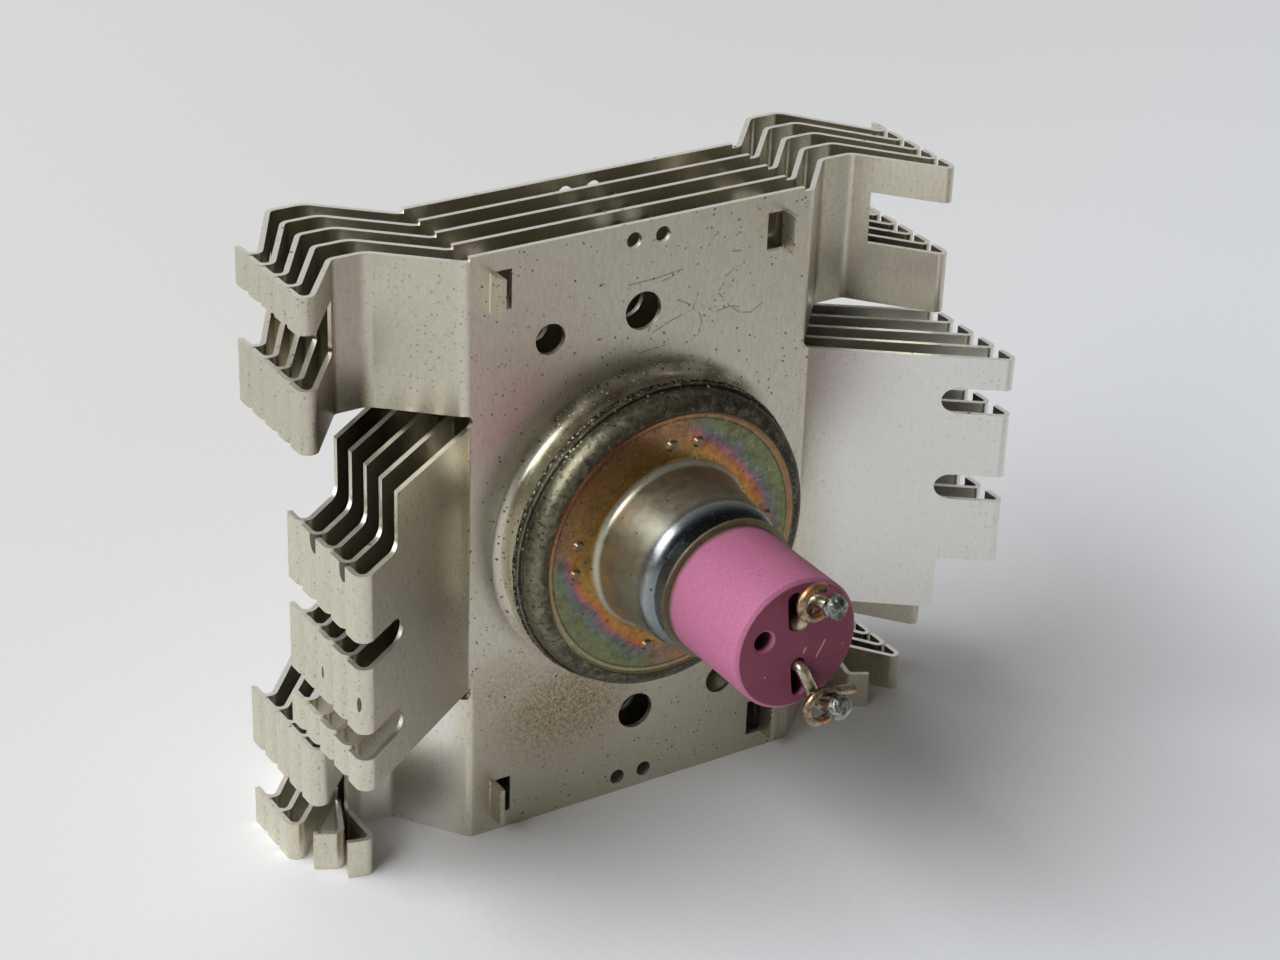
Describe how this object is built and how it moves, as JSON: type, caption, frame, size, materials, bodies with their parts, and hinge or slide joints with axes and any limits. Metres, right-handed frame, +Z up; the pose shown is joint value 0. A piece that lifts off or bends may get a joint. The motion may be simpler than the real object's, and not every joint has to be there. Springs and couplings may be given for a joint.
{
  "type": "magnetron tube",
  "caption": "Oven magnetron tube with its stack of folded aluminium cooling fins, steel seals, pink ceramic stem with two terminals and a capped antenna.",
  "frame": {"origin": "on the ground under the tube axis, at the middle of the fin stack, on the lower edge of the middle fin", "axes": "+Y along the tube axis from the cathode end to the antenna end, +Z up, +X to the right as seen from the cathode end"},
  "size_m": [0.0844, 0.0995, 0.0736],
  "materials": {
    "fin_aluminium": "satin",
    "copper": "satin",
    "seal_steel": "satin",
    "plain_steel": "satin",
    "pink_alumina": "matte",
    "lead_metal": "satin",
    "solder": "rough"
  },
  "bodies": {
    "root": {"fin_1": "fin_aluminium", "fin_2": "fin_aluminium", "fin_3": "fin_aluminium", "fin_4": "fin_aluminium", "fin_5": "fin_aluminium", "anode_cylinder": "copper", "vane_01": "copper", "vane_02": "copper", "vane_03": "copper", "vane_04": "copper", "vane_05": "copper", "vane_06": "copper", "vane_07": "copper", "vane_08": "copper", "vane_09": "copper", "vane_10": "copper", "front_inner_strap": "copper", "front_outer_strap": "copper", "front_pole_piece": "plain_steel", "front_end_shield": "lead_metal", "front_seal": "seal_steel", "rear_inner_strap": "copper", "rear_outer_strap": "copper", "rear_pole_piece": "plain_steel", "rear_end_shield": "lead_metal", "rear_seal": "seal_steel", "filament": "lead_metal", "centre_lead": "lead_metal", "side_lead": "lead_metal", "stem_ceramic": "pink_alumina", "antenna_ceramic": "pink_alumina", "upper_terminal": "lead_metal", "upper_wire_loop": "copper", "upper_solder_end": "solder", "lower_terminal": "lead_metal", "lower_wire_loop": "copper", "lower_solder_end": "solder", "antenna_lead": "copper", "choke_sleeve": "plain_steel", "exhaust_tube": "copper", "antenna_cap": "plain_steel"}
  },
  "joints": []
}
